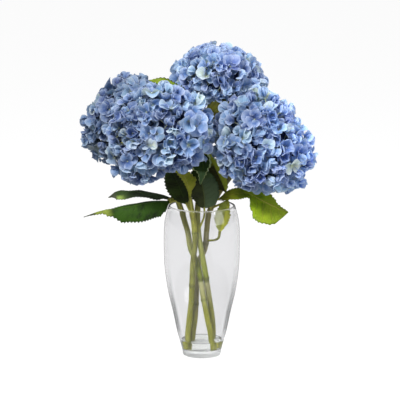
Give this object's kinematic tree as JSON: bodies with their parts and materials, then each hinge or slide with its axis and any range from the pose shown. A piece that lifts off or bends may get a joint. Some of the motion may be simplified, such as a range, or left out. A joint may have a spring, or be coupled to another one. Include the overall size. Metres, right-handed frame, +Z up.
{
  "type": "hydrangeas in a vase",
  "caption": "Large blue mophead hydrangeas on green stems with toothed leaves, standing in a tall, tapered clear glass vase that holds a little water.",
  "frame": {"origin": "centre of the vase's flat foot, on the surface that it stands on", "axes": "+Z up along the vase's axis, -Y towards the front, from where all the heads show, +X to the right"},
  "size_m": [0.3802, 0.284, 0.5077],
  "materials": {
    "clear_glass": "gloss",
    "water": "gloss",
    "stem": "satin",
    "leaf_deep": "satin",
    "leaf_fresh": "satin",
    "petals": "matte"
  },
  "bodies": {
    "root": {"vase": "clear_glass", "water": "water", "stem_left": "stem", "stem_front": "stem", "stem_top": "stem", "stem_right": "stem", "leaf_left_low": "leaf_deep", "leaf_left_high": "leaf_deep", "leaf_mid_left": "leaf_deep", "leaf_folded": "leaf_fresh", "leaf_centre": "leaf_deep", "leaf_centre_right": "leaf_fresh", "leaf_curled": "leaf_deep", "leaf_right": "leaf_fresh", "leaf_neck": "leaf_fresh", "leaf_behind_left": "leaf_fresh", "leaf_behind_right": "leaf_deep", "leaf_behind_edge": "leaf_deep", "leaf_back": "leaf_deep", "bloom_left": "petals", "bloom_front": "petals", "bloom_top": "petals", "bloom_right": "petals"}
  },
  "joints": []
}
